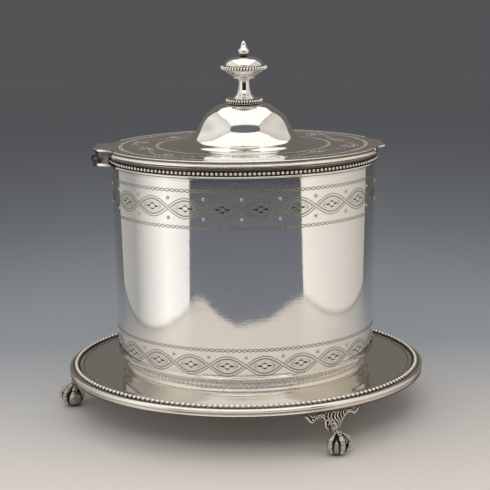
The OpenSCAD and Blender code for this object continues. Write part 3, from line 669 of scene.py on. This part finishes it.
class Casting(Lumps):
    """Closed lumps placed on the tray's edge: u along it, z up, out from it."""

    def __init__(self, at):
        super().__init__()
        t = math.radians(at)
        a, b = EDGE_MID, EDGE_MID * TRAY_RATIO
        self.o = np.array([AX + a * math.cos(t), b * math.sin(t)])
        n = np.array([b * math.cos(t), a * math.sin(t)])
        self.n = n / np.linalg.norm(n)
        self.t = np.array([-self.n[1], self.n[0]])
        self.bend = ((a * math.sin(t)) ** 2 + (b * math.cos(t)) ** 2) ** 1.5 / (a * b)

    def point(self, out, u, z, curved=True):
        """A place in the CAD's frame, on the edge's curve or on its tangent."""
        out, u = np.asarray(out, float), np.asarray(u, float)
        out = out - (u ** 2 / (2 * self.bend) if curved else 0.0)
        x = self.o[0] + self.n[0] * out + self.t[0] * u
        y = self.o[1] + self.n[1] * out + self.t[1] * u
        return np.stack(np.broadcast_arrays(x, y, np.asarray(z, float)), -1)

    def ball_point(self, out, u, z):
        """A place measured from the upright line through the ball's centre."""
        return self.point(BALL_OUT + out, BALL_SIDE + u, z, curved=False)

    def ball(self, centre, r, seg):
        points, faces = ball_mesh(seg, seg // 2 + 2)
        self.add(points * r + centre, faces)

    def tube(self, path, radii, seg, dense=3):
        """A round strand through the points, with a radius at each."""
        path = np.asarray(path, float)
        m = len(path)
        pts = np.array([spline(path, i, k / dense) for i in range(m - 1) for k in range(dense)] + [path[-1]])
        rad = np.interp(np.linspace(0, m - 1, len(pts)), np.arange(m), radii)
        tan = np.gradient(pts, axis=0)
        tan /= np.linalg.norm(tan, axis=1)[:, None]
        side = np.cross(tan[0], (0.3, 0.5, 0.8))
        ang = np.arange(seg) * TAU / seg
        rings = []
        for p, r, d in zip(pts, rad, tan):
            side = side - d * side.dot(d)
            side /= np.linalg.norm(side)
            rings.append(p + r * (np.outer(np.cos(ang), side) + np.outer(np.sin(ang), np.cross(d, side))))
        ends = [pts[:1] - tan[:1] * rad[0] * 0.6, pts[-1:] + tan[-1:] * rad[-1] * 0.6]
        last = (len(rings) - 1) * seg
        faces = [f for a in range(0, last, seg) for f in strip(a, a + seg, seg)]
        for i in range(seg):
            k = (i + 1) % seg
            faces += [(k, i, last + seg), (last + i, last + k, last + seg + 1)]
        self.add(np.concatenate(rings + ends), faces)

    def curtain(self, us, low, top, back, front):
        """The bracket's plate: a sheet that hangs from z = top to the outline low(u)."""
        n = len(us)
        rows = [self.point(out, us, z) for out, z in ((back, top), (back, low), (front, low), (front, top))]
        faces = [(j * n + i, j * n + i + 1, (j + 1) % 4 * n + i + 1, (j + 1) % 4 * n + i)
                 for i in range(n - 1) for j in range(4)]
        faces.append((0, n, 2 * n, 3 * n))
        faces.append((n - 1, 4 * n - 1, 3 * n - 1, 2 * n - 1))
        self.add(np.concatenate(rows), faces)

    def cast(self, name, voxel=0.2):
        """One clean skin round all the lumps, with the ball's flat on the floor."""
        ob = mesh_object(name, np.concatenate(self.verts), self.faces, M_CAST)
        skin = ob.modifiers.new("skin", "REMESH")
        skin.mode = "VOXEL"
        skin.voxel_size = voxel * MM
        skin.adaptivity = 0.0
        soft = ob.modifiers.new("soft", "SMOOTH")
        soft.factor = 0.5
        soft.iterations = 2
        graph = bpy.context.evaluated_depsgraph_get()
        me = bpy.data.meshes.new_from_object(ob.evaluated_get(graph))
        bpy.data.objects.remove(ob)
        for vert in me.vertices:
            vert.co.z = max(vert.co.z, 0.0)
        me.shade_smooth()
        me.materials.clear()
        me.materials.append(M_CAST)
        me.update()
        me.name = name
        ob = bpy.data.objects.new(name, me)
        scene.collection.objects.link(ob)
        return ob


# lower outline of the bracket: (along the edge, up)
BRACKET = [
    (-16.4, 24.0), (-15.2, 22.9), (-14.0, 21.0), (-12.7, 19.7), (-11.6, 19.3), (-10.4, 20.1), (-9.0, 21.4),
    (-7.4, 21.9), (-6.0, 21.4), (-5.1, 19.6), (-4.9, 17.6), (-4.6, 15.9), (-3.7, 14.6), (-2.5, 13.6),
    (0.5, 12.6), (3.0, 12.6), (4.0, 14.0), (4.7, 16.0), (5.7, 17.9), (7.1, 20.0), (8.7, 21.6), (10.3, 22.0),
    (11.8, 21.6), (13.0, 20.4), (14.2, 21.0), (15.2, 22.7), (16.4, 24.0)]
# raised scrolls on the bracket: (along, up) points, and the radius at the middle
SCROLLS = [
    ([(0.9, 12.8), (0.3, 15.0), (0.9, 17.0), (0.4, 18.8), (-0.9, 20.2), (-1.5, 21.8), (-0.9, 23.8)], 0.55),
    ([(1.9, 12.6), (1.9, 15.0), (2.7, 17.0), (2.2, 18.9), (0.9, 20.4), (0.6, 22.0), (1.3, 23.9)], 0.55),
    ([(2.9, 13.4), (3.3, 15.8), (4.0, 17.8), (3.5, 19.6), (2.5, 21.1), (2.3, 22.5), (3.2, 23.9)], 0.52),
    ([(3.9, 15.0), (4.7, 17.4), (5.3, 19.3), (4.9, 20.9), (4.3, 22.3), (4.9, 23.8)], 0.5),
    ([(5.9, 18.4), (6.7, 20.3), (6.5, 21.8), (6.0, 22.8), (6.6, 23.9)], 0.45),
    ([(-0.4, 15.4), (-1.5, 17.2), (-1.3, 18.8), (-2.5, 20.4), (-3.2, 21.9), (-2.8, 23.7)], 0.52),
    ([(-2.3, 14.4), (-3.9, 15.6), (-4.4, 17.4), (-4.2, 19.2), (-3.1, 20.0), (-2.3, 19.0), (-2.5, 17.6),
      (-3.2, 17.2)], 0.55),
    ([(-11.2, 19.9), (-9.8, 21.2), (-7.9, 22.3), (-6.2, 22.1), (-5.0, 21.0), (-4.6, 19.8)], 0.5),
    ([(-10.6, 21.6), (-9.2, 22.9), (-7.2, 23.4), (-5.4, 22.9), (-4.3, 21.8)], 0.42),
    ([(-15.9, 23.6), (-14.6, 22.2), (-13.4, 20.6), (-12.0, 19.7), (-11.4, 20.4), (-12.0, 21.5)], 0.7),
    ([(-13.0, 23.7), (-12.0, 22.6), (-10.9, 22.7), (-10.8, 23.6)], 0.45),
    ([(5.3, 18.0), (6.9, 20.6), (8.6, 22.1), (10.4, 22.5), (12.0, 21.9), (12.9, 20.8)], 0.5),
    ([(7.6, 22.3), (9.0, 23.4), (10.8, 23.4), (12.0, 22.8)], 0.4),
    ([(15.9, 23.7), (15.0, 22.4), (13.9, 21.2), (13.0, 20.8), (12.8, 21.6), (13.4, 22.4)], 0.55)]
# the leg: (out, along, up) and radius
LEG = [((0.3, 0.2, 18.0), 2.0), ((0.5, 0.6, 15.6), 2.6), ((0.9, 1.0, 13.4), 2.25), ((1.3, 1.4, 11.6), 2.3),
       ((1.7, 1.7, 9.0), 3.2)]
# a claw over the ball, and the spur behind it: (distance from the ball's upright, height)
CLAW = [(1.9, 12.2), (3.7, 11.3), (5.6, 10.2), (6.8, 8.6), (7.0, 6.9), (6.6, 5.0), (5.7, 3.1), (4.9, 1.7)]
CLAW_RADII = [0.6, 0.8, 0.95, 1.25, 1.55, 1.2, 1.5, 1.05, 1.05, 0.5]
SPUR = [(-1.2, 12.8), (-3.4, 11.8), (-4.9, 10.0), (-5.6, 7.9), (-5.5, 5.9), (-5.0, 3.9), (-4.3, 2.3)]
SPUR_RADII = [1.2, 1.35, 1.3, 1.35, 1.15, 0.9, 0.5]
# scales in pairs down a claw: (distance, height, radius)
SCALES = [(3.55, 12.4, 0.5), (5.25, 11.5, 0.62), (6.75, 10.3, 0.65), (7.6, 8.7, 0.55), (7.65, 7.0, 0.5),
          (7.45, 5.4, 0.5)]
SCALE_SIDE = 0.62


def bulge(u):
    """How far the bracket's middle stands out, as a share."""
    return np.exp(-((u - 0.6) / 4.5) ** 2)


def claw_foot(name, at):
    c = Casting(at)
    us = np.linspace(BRACKET[0][0], BRACKET[-1][0], 132)
    low = np.interp(us, [u for u, _ in BRACKET], [z for _, z in BRACKET])
    c.curtain(us, low, BRACKET_TOP, -1.0 - 0.3 * bulge(us), 0.55 + 0.75 * bulge(us))
    for line, r in SCROLLS:
        u, z = np.array(line).T
        rad = r * np.interp(np.linspace(0, 1, len(line)), (0, 0.25, 0.7, 1), (0.7, 1.0, 1.0, 0.75))
        c.tube(c.point(0.75 + 0.85 * bulge(u), u, z), rad, 8)
    c.ball(c.ball_point(0, 0, BALL_Z), BALL_R, 28)
    c.tube([c.point(*place) for place, _ in LEG], [r for _, r in LEG], 14)
    for az in (-CLAW_SPREAD, 0.0, CLAW_SPREAD):
        ca, sa = math.cos(math.radians(az)), math.sin(math.radians(az))
        path = [c.point(1.5 + 0.5 * ca, 0.4 + 1.0 * sa, 16.6), c.point(1.4 + 0.9 * ca, 0.9 + 1.3 * sa, 13.8)]
        path += [c.ball_point(r * ca, r * sa, z) for r, z in CLAW]
        c.tube(path, CLAW_RADII, 12)
        across = np.array([*(c.t * ca - c.n * sa), 0.0])
        for r, z, size in SCALES:
            for side in (-SCALE_SIDE, SCALE_SIDE):
                c.ball(c.ball_point(r * ca, r * sa, z) + across * side, size, 8)
    c.tube([c.ball_point(r, 0, z) for r, z in SPUR], SPUR_RADII, 12)
    return c.cast(name)


for node, at in (("foot_hinge_end", 180 - FOOT_TURN), ("foot_front", -SIDE_FOOT - FOOT_TURN),
                 ("foot_back", SIDE_FOOT - FOOT_TURN)):
    foot = claw_foot(node + "_cast", at)
    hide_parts(node)
    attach(foot, "base")

# ------------------------------ engraving
# marks lie this far proud of the metal, so that they show
CUT_RISE = 0.035
# distance along the wall at its front, and the length of wall that one medallion takes
FRONT = 0.75 * BODY.length
MEDALLIONS = 21
PITCH = BODY.length / MEDALLIONS
UPPER_Z, LOWER_Z = 131.6, 45.0
UPPER_FIRST, LOWER_FIRST = -2.0, -0.8


class Cuts(Lumps):
    """Flat engraved marks laid on a surface, as narrow strips and small shapes in its own two directions."""

    def line(self, pts, width, closed=False):
        pts = np.asarray(pts, float)
        d = np.roll(pts, -1, 0) - np.roll(pts, 1, 0) if closed else np.gradient(pts, axis=0)
        d /= np.linalg.norm(d, axis=1)[:, None] + 1e-12
        side = np.stack([-d[:, 1], d[:, 0]], 1)
        w = np.broadcast_to(np.asarray(width, float), len(pts))[:, None] / 2
        n = len(pts)
        self.add(np.concatenate([pts + side * w, pts - side * w]),
                 [(i, (i + 1) % n, n + (i + 1) % n, n + i) for i in range(n if closed else n - 1)])

    def stroke(self, a, b, width):
        """A bright-cut stroke: wide near one end and pointed at the other."""
        a, b = np.array(a, float), np.array(b, float)
        k = np.linspace(0, 1, 4)[:, None]
        self.line(a + (b - a) * k, width * np.array([0.35, 1.0, 0.8, 0.12]))

    def leaf(self, centre, half_len, half_wide, angle=0.0, n=14):
        t = np.arange(n) * TAU / n
        x, y = half_len * np.cos(t), half_wide * np.sin(t)
        c, s = math.cos(angle), math.sin(angle)
        pts = np.stack([centre[0] + x * c - y * s, centre[1] + x * s + y * c], 1)
        self.add(np.concatenate([pts, [centre]]), [(i, (i + 1) % n, n) for i in range(n)])

    def place(self, name, where, mat, slot, body):
        """Lay the marks on the wall or the lid, with all their faces outward."""

        def flip(bm):
            bm.normal_update()
            inward = [f for f in bm.faces if looks_inward(f, body)]
            if inward:
                bmesh.ops.reverse_faces(bm, faces=inward)

        ob = rework(mesh_object(name, where(np.concatenate(self.verts)), self.faces, mat), flip)
        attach(ob, body)


def looks_inward(face, body):
    """True where a mark's face looks into the metal."""
    c, n = face.calc_center_median(), face.normal
    if body == "lid":
        return n.z < 0
    return (c.x - AX * MM) * n.x + c.y * n.y / RATIO ** 2 < 0


def on_wall(p):
    x, y, _, _ = BODY.at(FRONT + p[:, 0], CUT_RISE)
    return np.stack([x, y, p[:, 1]], 1)


def on_lid(p):
    return np.stack([AX + p[:, 0], p[:, 1], np.full(len(p), LID_TOP + CUT_RISE)], 1)


def guilloche(c, z0, first, swell=4.9, half=0.62, width=0.5):
    """Two plaited strands, each cut as a double line; the strand that falls to the right lies on top."""
    s = np.linspace(first, first + BODY.length, MEDALLIONS * 60 + 1)
    wave = math.pi / PITCH
    for sign in (1, -1):
        slope = sign * swell * wave * np.cos(wave * (s - first))
        k = np.hypot(1, slope)
        for off in (-half, half):
            at = s - off * slope / k
            z = sign * swell * np.sin(wave * (s - first)) + off / k
            other = -sign * swell * np.sin(wave * (at - first))
            turn = np.round((at - first) / PITCH)
            under = turn.astype(int) % 2 == (0 if sign > 0 else 1)
            near = np.abs(at - first - turn * PITCH) < 0.35 * PITCH
            hidden = under & near & (np.abs(z - other) / k < half + 0.12)
            run = []
            for hide, p in zip([*hidden, True], [*np.stack([at, z0 + z], 1), None]):
                if not hide:
                    run.append(p)
                    continue
                if len(run) > 2:
                    c.line(run, width)
                run = []


def medallion(c, fine, dark, s, z):
    """A pointed oval with a bright-cut border of radial strokes and a four-petalled flower."""
    a, b = 7.9, 3.85
    t = np.linspace(-1, 1, 25)
    for sign in (1, -1):
        c.line(np.stack([s + a * t, z + sign * b * np.cos(t * math.pi / 2) ** 0.85], 1), 0.26)
    count = 40
    for g in [TAU * (i + 0.5) / count for i in range(count)]:
        x1 = 6.5 * math.cos(g)
        z1 = 3.3 * math.sin(g) * abs(math.cos(x1 / a * math.pi / 2)) ** 0.35
        fine.stroke((s + x1, z + z1), (s + 4.0 * math.cos(g), z + 2.1 * math.sin(g)), 0.2)
    for g in [TAU * (i + 0.5) / 8 for i in range(8)]:
        fine.stroke((s + 1.3 * math.cos(g), z + 0.8 * math.sin(g)),
                    (s + 3.4 * math.cos(g), z + 2.0 * math.sin(g)), 0.34)
    for side in (-1, 1):
        dark.leaf((s + side * 2.65, z), 1.3, 0.46)
        dark.leaf((s, z + side * 1.5), 1.05, 0.4)
        for up in (-1, 1):
            dark.stroke((s + side * 0.9, z + up * 0.55), (s + side * 2.2, z + up * 1.6), 0.26)


def rope(c, z, swell=0.75, period=6.0, width=0.5):
    """A narrow border of two twisted strands."""
    turns = round(BODY.length / period)
    s = np.linspace(0, BODY.length, turns * 14 + 1)
    for shift in (0.0, math.pi):
        c.line(np.stack([s, z + swell * np.sin(TAU * turns * s / BODY.length + shift)], 1), width)


for level, z0, first, ropes in (("upper", UPPER_Z, UPPER_FIRST, (141.2, 121.4)),
                                ("lower", LOWER_Z, LOWER_FIRST, (53.9,))):
    band, strokes, flowers = Cuts(), Cuts(), Cuts()
    guilloche(band, z0, first)
    for k in range(MEDALLIONS):
        medallion(band, strokes, flowers, first + (k + 0.5) * PITCH, z0)
    for z in ropes:
        rope(band, z)
    band.place("engraved_band_" + level, on_wall, M_CUT, "body_silver", "base")
    strokes.place("engraved_strokes_" + level, on_wall, M_CUT_FINE, "body_silver", "base")
    flowers.place("engraved_flowers_" + level, on_wall, M_CUT_DEEP, "body_silver", "base")

# small punched dots that stand proud of the wall between the medallions
spots = []
for k in range(MEDALLIONS):
    for s, z in ((UPPER_FIRST, UPPER_Z + 5.4), (UPPER_FIRST, UPPER_Z - 5.4), (LOWER_FIRST, LOWER_Z + 4.9)):
        spots.append((BODY.at(FRONT + s + k * PITCH), z))
dots = balls("engraved_dots", spots, (0.5, 0.98, 0.98), M_BOSS)
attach(dots, "base")
DOT_COUNT = 215
row = Cuts()
for k in range(DOT_COUNT):
    row.leaf((k * BODY.length / DOT_COUNT, 38.9), 0.38, 0.36, n=8)
row.place("engraved_dot_row", on_wall, M_CUT, "body_silver", "base")

# lid: double ovals, and between them a wreath of scrolls with leaves and curls
SCROLL_COUNT, SCROLL_LEAVES = 12, 7
STEM_R, STEM_SWAY = 59.5, 4.6
SCROLL = TAU / SCROLL_COUNT
lid_cuts = Cuts()


def lid_at(r, t):
    return np.array([r * math.cos(t), RATIO * r * math.sin(t)])


def toward(t):
    return np.array([math.cos(t), math.sin(t)])


for r, width in ((70.6, 0.42), (69.4, 0.42), (49.6, 0.36), (48.6, 0.36)):
    lid_cuts.line([lid_at(r, TAU * i / 240) for i in range(240)], width, closed=True)
for k in range(SCROLL_COUNT):
    t0 = k * SCROLL
    flip = 1 if k % 2 else -1

    def on_stem(f):
        return lid_at(STEM_R + flip * STEM_SWAY * math.sin(math.pi * f), t0 + f * SCROLL)

    lid_cuts.line([on_stem(i / 24) for i in range(25)],
                  np.interp(np.linspace(0, 1, 25), (0, 0.5, 1), (0.3, 0.55, 0.3)))
    mid = lid_at(59.0 + flip * 0.4, t0 + 0.5 * SCROLL)
    lid_cuts.line([mid + 4.3 * (1 - i / 24) * toward(t0 + flip * (0.5 + i * 0.36)) for i in range(22)],
                  np.interp(np.linspace(0, 1, 22), (0, 0.3, 1), (0.2, 0.5, 0.25)))
    for f in [(j + 0.5) / SCROLL_LEAVES for j in range(SCROLL_LEAVES)]:
        base = on_stem(f)
        for side in (-1, 1):
            ang = t0 + f * SCROLL + math.pi / 2 + side * 0.85 + flip * 0.5 * math.cos(math.pi * f)
            lid_cuts.leaf(base + 1.5 * toward(ang), 1.35, 0.42, ang, 10)
            lid_cuts.stroke(base, base + 2.6 * toward(ang), 0.3)
    for g in [t0 + j * TAU / 5 for j in range(5)]:
        lid_cuts.leaf(mid + 1.25 * toward(g), 0.8, 0.36, g, 8)
lid_cuts.place("engraved_lid_scrolls", on_lid, M_CUT_LID, "lid_silver", "lid")


# ------------------------------ stage and light, in metres
# front edge of the floor sheet (X, Y), and how far back it runs
FLOOR_EDGE = [(-9, -0.31), (-0.4, -0.3), (-0.226, -0.262), (-0.2, -0.296), (-0.172, -0.311), (-0.13, -0.303),
              (-0.07, -0.292), (-0.027, -0.283), (0.03, -0.29), (0.1, -0.29), (0.16, -0.296),
              (0.204, -0.287), (0.24, -0.27), (0.4, -0.28), (9, -0.31)]
FLOOR_BACK = 14.0
# the floor's colour is graded to paint the light: warm and pale in front, nearest the tent's light, and
# darker blue-grey behind: (distance behind the object, colour)
FLOOR_LIGHT_GRADE = [(-0.15, (0.82, 0.76, 0.7)), (0.0, (0.62, 0.61, 0.6)), (0.12, (0.39, 0.42, 0.46)),
               (0.5, (0.33, 0.37, 0.41)), (2.0, (0.47, 0.49, 0.55))]
WORLD_BACK, WORLD_FRONT = (0.17, 0.155, 0.14), (0.14, 0.15, 0.17)
# the room in front, dark round the camera: (sine of the height of view, level); then the level elsewhere
FRONT_BANDS = [(-0.28, 1.0), (-0.18, 0.65), (-0.167, 0.12), (0.32, 0.1), (0.55, 0.7)]
ROOM_LEVEL = 0.65
# the light tent: heights of its foot and top, and the corners of its four glowing sheets
FOOT_Z, TOP_Z = 0.002, 0.7
LEFT_SHEET = [(-0.205, -0.25, FOOT_Z), (-0.307, 0.16, FOOT_Z), (-0.4, 0.5, TOP_Z), (-0.37, -0.58, TOP_Z)]
RIGHT_SHEET = [(0.242, -0.27, FOOT_Z), (0.335, 0.12, FOOT_Z), (0.425, 0.4, TOP_Z), (0.4, -0.58, TOP_Z)]
FRONT_SHEET = [(-0.85, -1.3, 0.5), (0.85, -1.3, 0.5), (0.95, -1.3, 0.9), (-0.95, -1.3, 0.9)]
TOP_SHEET = [(-0.362, -0.58, TOP_Z), (0.392, -0.58, TOP_Z), (0.418, 0.38, TOP_Z), (-0.392, 0.44, TOP_Z)]
# side sheets from front to back: (Y, level). Between these two heights they become even.
FADE_FROM_Z, FADE_TO_Z = 0.15, 0.4
LEFT_FADE = [(-0.58, 0.8), (-0.25, 0.8), (-0.15, 1.0), (0.0, 0.35), (0.5, 0.5)]
RIGHT_FADE = [(-0.58, 1.0), (-0.25, 1.0), (-0.1, 0.8), (0.1, 0.5), (0.4, 0.6)]


def stops(pairs):
    """(Y, value) pairs as ramp stops over their own span."""
    near, far = pairs[0][0], pairs[-1][0]
    return [((y - near) / (far - near), value) for y, value in pairs]


def stage_sheet(name, points, faces, mat):
    me = bpy.data.meshes.new(name)
    me.from_pydata(points, [], faces)
    me.materials.append(mat)
    ob = bpy.data.objects.new(name, me)
    scene.collection.objects.link(ob)
    return ob


def floor_with_painted_light():
    n = Nodes(bpy.data.materials.new("graded_floor_painted_light"))
    shader = n.add("BsdfPrincipled", Roughness=0.5, Specular_IOR_Level=0.2)
    _, y, _ = n.split(n.add("NewGeometry").outputs["Position"])
    # the base colour is graded from front to back: painted light, paler in front and darker behind
    along = n.spread(y, FLOOR_LIGHT_GRADE[0][0], FLOOR_LIGHT_GRADE[-1][0])
    n.feed(shader.inputs["Base Color"], n.ramp(along, stops(FLOOR_LIGHT_GRADE)))
    count = len(FLOOR_EDGE)
    points = [(x, y, 0) for x, y in FLOOR_EDGE] + [(x, FLOOR_BACK, 0) for x, _ in FLOOR_EDGE]
    stage_sheet("floor", points, [(i, i + 1, count + i + 1, count + i) for i in range(count - 1)],
                n.out(shader.outputs[0]))


def soft_world():
    """A dim room: warm behind the object, cool in front of it, and there banded by height."""
    scene.world = bpy.data.worlds.new("world")
    n = Nodes(scene.world)
    _, y, z = n.split(n.add("TexCoord").outputs["Generated"])
    light = n.add("Background")
    n.feed(light.inputs["Color"], n.mix(n.spread(y, -0.5, 0.5), WORLD_FRONT, WORLD_BACK))
    bands = n.ramp(n.spread(z, -1.0, 1.0), [(0.5 * (height + 1), level) for height, level in FRONT_BANDS])
    level = n.mix(n.spread(y, -0.2, -0.5), (ROOM_LEVEL, ROOM_LEVEL, ROOM_LEVEL), bands)
    n.feed(light.inputs["Strength"], n.math("DIVIDE", level, ROOM_LEVEL))
    n.out(light.outputs[0], "World")


def tent_sheet(name, corners, level, tint, fade=((-1.0, 1.0), (1.0, 1.0)), lift=1.0):
    """One glowing sheet of the light tent, out of the camera's sight.

    fade lists (Y, level) from front to back, and lift is the level at the top as a share of the foot's."""
    n = Nodes(bpy.data.materials.new(name))
    _, y, z = n.split(n.add("NewGeometry").outputs["Position"])
    shade = n.ramp(n.spread(y, fade[0][0], fade[-1][0]), stops(fade))
    shade = n.mix(n.spread(z, FADE_FROM_Z, FADE_TO_Z), shade, (1, 1, 1))
    glow = n.add("Emission")
    n.feed(glow.inputs["Color"], tint)
    n.feed(glow.inputs["Strength"], n.math("MULTIPLY", shade, n.spread(z, 0.0, TOP_Z, level, level * lift)))
    ob = stage_sheet(name, corners, [(0, 1, 2, 3)], n.out(glow.outputs[0]))
    ob.visible_camera = False
    return ob


floor_with_painted_light()
soft_world()
tent_sheet("tent_left", LEFT_SHEET, 1.23, (1.0, 0.985, 0.955), LEFT_FADE, 0.6)
tent_sheet("tent_right", RIGHT_SHEET, 1.05, (1.0, 0.94, 0.87), RIGHT_FADE, 0.6)
front_sheet = tent_sheet("tent_front", FRONT_SHEET, 1.9, (1.0, 0.985, 0.95))
front_sheet.visible_diffuse = False
tent_sheet("tent_top", TOP_SHEET, 1.25, (1.0, 0.99, 0.97))

# a soft lamp for the floor and other dull surfaces, turned to the origin; the silver does not mirror it
lamp = bpy.data.lights.new("floor_fill", "AREA")
lamp.size, lamp.energy = 0.7, 7.4
fill = bpy.data.objects.new("floor_fill", lamp)
scene.collection.objects.link(fill)
fill.location = (-0.1, -0.9, 1.1)
fill.rotation_euler = (math.atan2(-fill.location.y, fill.location.z), 0, 0)
fill.visible_camera = False
fill.visible_glossy = False
